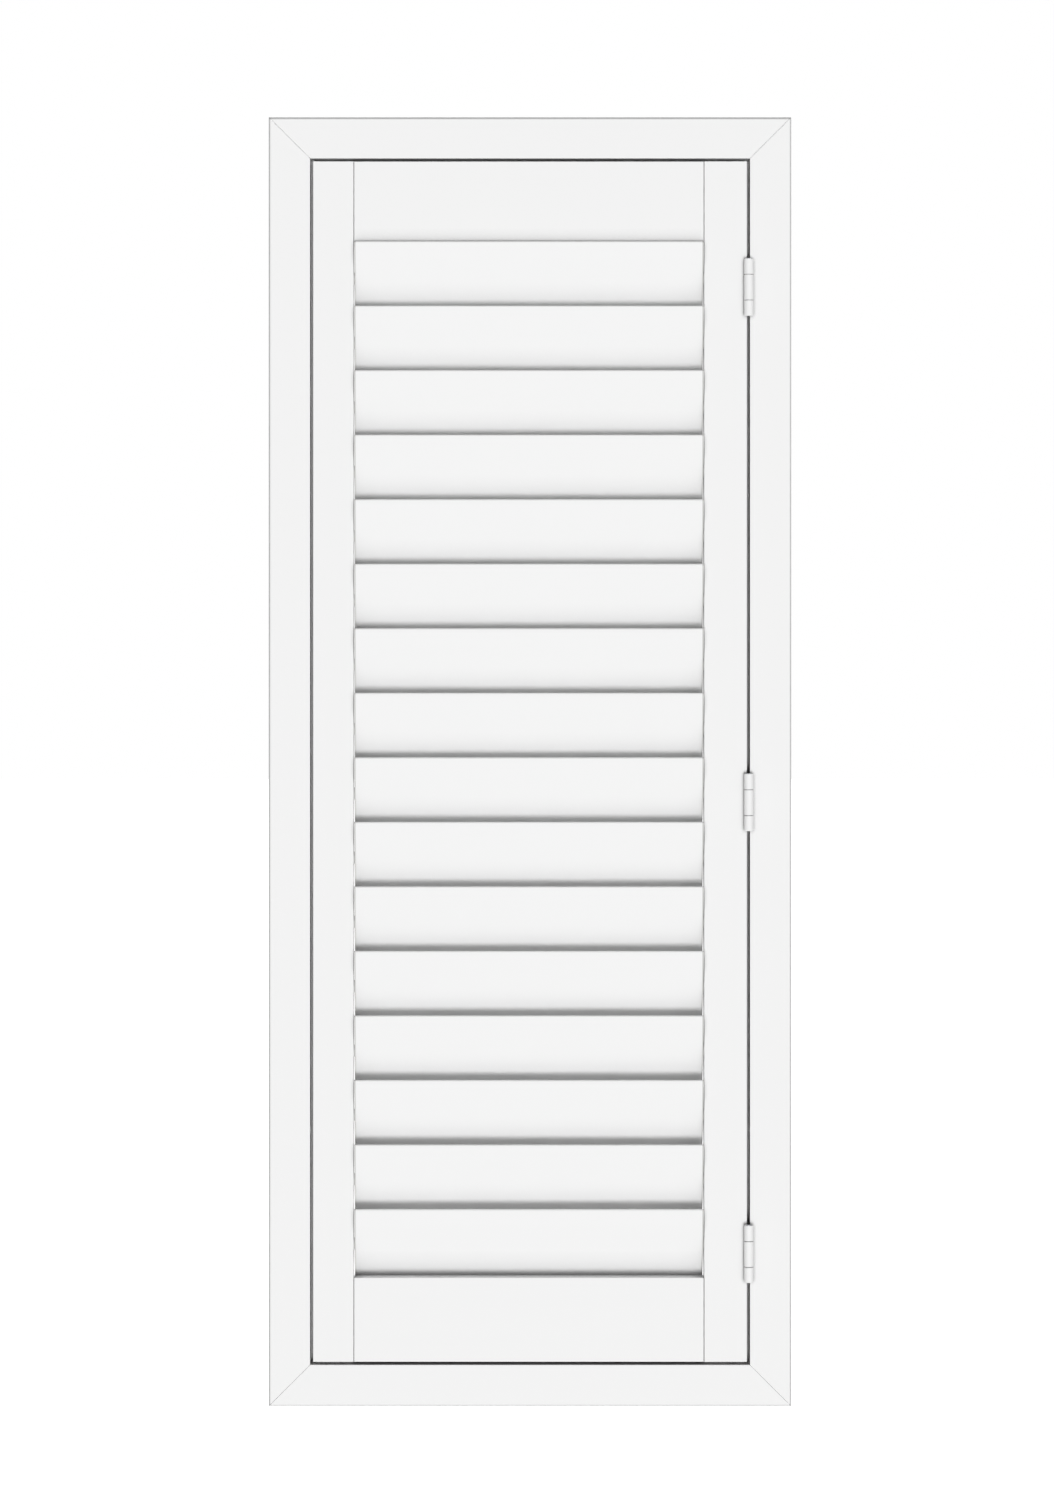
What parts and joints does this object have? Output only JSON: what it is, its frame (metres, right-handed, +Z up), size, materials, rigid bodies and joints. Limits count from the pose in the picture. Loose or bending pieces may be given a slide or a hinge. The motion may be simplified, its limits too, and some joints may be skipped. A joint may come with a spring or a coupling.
{
  "type": "louvred shutter",
  "caption": "White louvred window shutter: a mitred frame with one side-hung panel of tilting blades that turn together by a rack hidden in the stile.",
  "frame": {"origin": "middle of the frame's underside, on the seat of the sill, at half the frame's depth", "axes": "+X to the viewer's right, towards the hinges; +Y away from the viewer, into the window; +Z up"},
  "size_m": [0.6, 0.0573, 1.4799],
  "materials": {
    "white_coat": "satin",
    "hinge_coat": "satin",
    "zinc_steel": "satin",
    "mill_aluminium": "satin",
    "grey_rubber": "matte",
    "magnet": "matte",
    "white_nylon": "matte"
  },
  "bodies": {
    "frame": {"frame_head": "white_coat", "frame_sill": "white_coat", "frame_hinge_jamb": "white_coat", "frame_latch_jamb": "white_coat", "corner_cleats": "mill_aluminium", "stop_seal": "grey_rubber", "catch_magnets": "magnet", "frame_hinge_screws": "zinc_steel", "hinge_top_frame_leaf": "hinge_coat", "hinge_middle_frame_leaf": "hinge_coat", "hinge_bottom_frame_leaf": "hinge_coat", "hinge_top_pin": "zinc_steel", "hinge_middle_pin": "zinc_steel", "hinge_bottom_pin": "zinc_steel"},
    "panel": {"hinge_stile": "white_coat", "latch_stile": "white_coat", "top_rail": "white_coat", "bottom_rail": "white_coat", "rail_screws": "zinc_steel", "catch_plates": "zinc_steel", "hinge_stile_bushes": "white_nylon", "latch_stile_bushes": "white_nylon", "panel_hinge_screws": "zinc_steel", "hinge_top_panel_leaf": "hinge_coat", "hinge_middle_panel_leaf": "hinge_coat", "hinge_bottom_panel_leaf": "hinge_coat"},
    "rack": {"tilt_rack": "white_nylon"},
    "louvre_01": {"louvre_01": "white_coat", "louvre_01_fittings": "white_nylon"},
    "louvre_02": {"louvre_02": "white_coat", "louvre_02_fittings": "white_nylon"},
    "louvre_03": {"louvre_03": "white_coat", "louvre_03_fittings": "white_nylon"},
    "louvre_04": {"louvre_04": "white_coat", "louvre_04_fittings": "white_nylon"},
    "louvre_05": {"louvre_05": "white_coat", "louvre_05_fittings": "white_nylon"},
    "louvre_06": {"louvre_06": "white_coat", "louvre_06_fittings": "white_nylon"},
    "louvre_07": {"louvre_07": "white_coat", "louvre_07_fittings": "white_nylon"},
    "louvre_08": {"louvre_08": "white_coat", "louvre_08_fittings": "white_nylon"},
    "louvre_09": {"louvre_09": "white_coat", "louvre_09_fittings": "white_nylon"},
    "louvre_10": {"louvre_10": "white_coat", "louvre_10_fittings": "white_nylon"},
    "louvre_11": {"louvre_11": "white_coat", "louvre_11_fittings": "white_nylon"},
    "louvre_12": {"louvre_12": "white_coat", "louvre_12_fittings": "white_nylon"},
    "louvre_13": {"louvre_13": "white_coat", "louvre_13_fittings": "white_nylon"},
    "louvre_14": {"louvre_14": "white_coat", "louvre_14_fittings": "white_nylon"},
    "louvre_15": {"louvre_15": "white_coat", "louvre_15_fittings": "white_nylon"},
    "louvre_16": {"louvre_16": "white_coat", "louvre_16_fittings": "white_nylon"}
  },
  "joints": [
    {"name": "panel_swing", "type": "hinge", "parent": "frame", "child": "panel", "pos_m": [0.25075, -0.0288, 0.73998], "axis": [0, 0, 1], "range_deg": [0, 180]},
    {"name": "louvre_01_tilt", "type": "hinge", "parent": "panel", "child": "louvre_01", "pos_m": [0, -0.012, 1.29498], "axis": [1, 0, 0], "range_deg": [0, 138]},
    {"name": "louvre_02_tilt", "type": "hinge", "parent": "panel", "child": "louvre_02", "pos_m": [0, -0.012, 1.22098], "axis": [1, 0, 0], "range_deg": [0, 138]},
    {"name": "louvre_03_tilt", "type": "hinge", "parent": "panel", "child": "louvre_03", "pos_m": [0, -0.012, 1.14698], "axis": [1, 0, 0], "range_deg": [0, 138]},
    {"name": "louvre_04_tilt", "type": "hinge", "parent": "panel", "child": "louvre_04", "pos_m": [0, -0.012, 1.07298], "axis": [1, 0, 0], "range_deg": [0, 138]},
    {"name": "louvre_05_tilt", "type": "hinge", "parent": "panel", "child": "louvre_05", "pos_m": [0, -0.012, 0.99898], "axis": [1, 0, 0], "range_deg": [0, 138]},
    {"name": "louvre_06_tilt", "type": "hinge", "parent": "panel", "child": "louvre_06", "pos_m": [0, -0.012, 0.92498], "axis": [1, 0, 0], "range_deg": [0, 138]},
    {"name": "louvre_07_tilt", "type": "hinge", "parent": "panel", "child": "louvre_07", "pos_m": [0, -0.012, 0.85098], "axis": [1, 0, 0], "range_deg": [0, 138]},
    {"name": "louvre_08_tilt", "type": "hinge", "parent": "panel", "child": "louvre_08", "pos_m": [0, -0.012, 0.77698], "axis": [1, 0, 0], "range_deg": [0, 138]},
    {"name": "louvre_09_tilt", "type": "hinge", "parent": "panel", "child": "louvre_09", "pos_m": [0, -0.012, 0.70298], "axis": [1, 0, 0], "range_deg": [0, 138]},
    {"name": "louvre_10_tilt", "type": "hinge", "parent": "panel", "child": "louvre_10", "pos_m": [0, -0.012, 0.62898], "axis": [1, 0, 0], "range_deg": [0, 138]},
    {"name": "louvre_11_tilt", "type": "hinge", "parent": "panel", "child": "louvre_11", "pos_m": [0, -0.012, 0.55498], "axis": [1, 0, 0], "range_deg": [0, 138]},
    {"name": "louvre_12_tilt", "type": "hinge", "parent": "panel", "child": "louvre_12", "pos_m": [0, -0.012, 0.48098], "axis": [1, 0, 0], "range_deg": [0, 138]},
    {"name": "louvre_13_tilt", "type": "hinge", "parent": "panel", "child": "louvre_13", "pos_m": [0, -0.012, 0.40698], "axis": [1, 0, 0], "range_deg": [0, 138]},
    {"name": "louvre_14_tilt", "type": "hinge", "parent": "panel", "child": "louvre_14", "pos_m": [0, -0.012, 0.33298], "axis": [1, 0, 0], "range_deg": [0, 138]},
    {"name": "louvre_15_tilt", "type": "hinge", "parent": "panel", "child": "louvre_15", "pos_m": [0, -0.012, 0.25898], "axis": [1, 0, 0], "range_deg": [0, 138]},
    {"name": "louvre_16_tilt", "type": "hinge", "parent": "panel", "child": "louvre_16", "pos_m": [0, -0.012, 0.18498], "axis": [1, 0, 0], "range_deg": [0, 138]},
    {"name": "rack_slide", "type": "slide", "parent": "panel", "child": "rack", "axis": [0, 0, 1], "range_m": [0, 0.0131]}
  ],
  "couplings": [
    {"joint": "louvre_02_tilt", "follows": "louvre_01_tilt", "ratio": 1},
    {"joint": "louvre_03_tilt", "follows": "louvre_01_tilt", "ratio": 1},
    {"joint": "louvre_04_tilt", "follows": "louvre_01_tilt", "ratio": 1},
    {"joint": "louvre_05_tilt", "follows": "louvre_01_tilt", "ratio": 1},
    {"joint": "louvre_06_tilt", "follows": "louvre_01_tilt", "ratio": 1},
    {"joint": "louvre_07_tilt", "follows": "louvre_01_tilt", "ratio": 1},
    {"joint": "louvre_08_tilt", "follows": "louvre_01_tilt", "ratio": 1},
    {"joint": "louvre_09_tilt", "follows": "louvre_01_tilt", "ratio": 1},
    {"joint": "louvre_10_tilt", "follows": "louvre_01_tilt", "ratio": 1},
    {"joint": "louvre_11_tilt", "follows": "louvre_01_tilt", "ratio": 1},
    {"joint": "louvre_12_tilt", "follows": "louvre_01_tilt", "ratio": 1},
    {"joint": "louvre_13_tilt", "follows": "louvre_01_tilt", "ratio": 1},
    {"joint": "louvre_14_tilt", "follows": "louvre_01_tilt", "ratio": 1},
    {"joint": "louvre_15_tilt", "follows": "louvre_01_tilt", "ratio": 1},
    {"joint": "louvre_16_tilt", "follows": "louvre_01_tilt", "ratio": 1},
    {"joint": "rack_slide", "follows": "louvre_01_tilt", "m_per_rad": 0.0054}
  ]
}
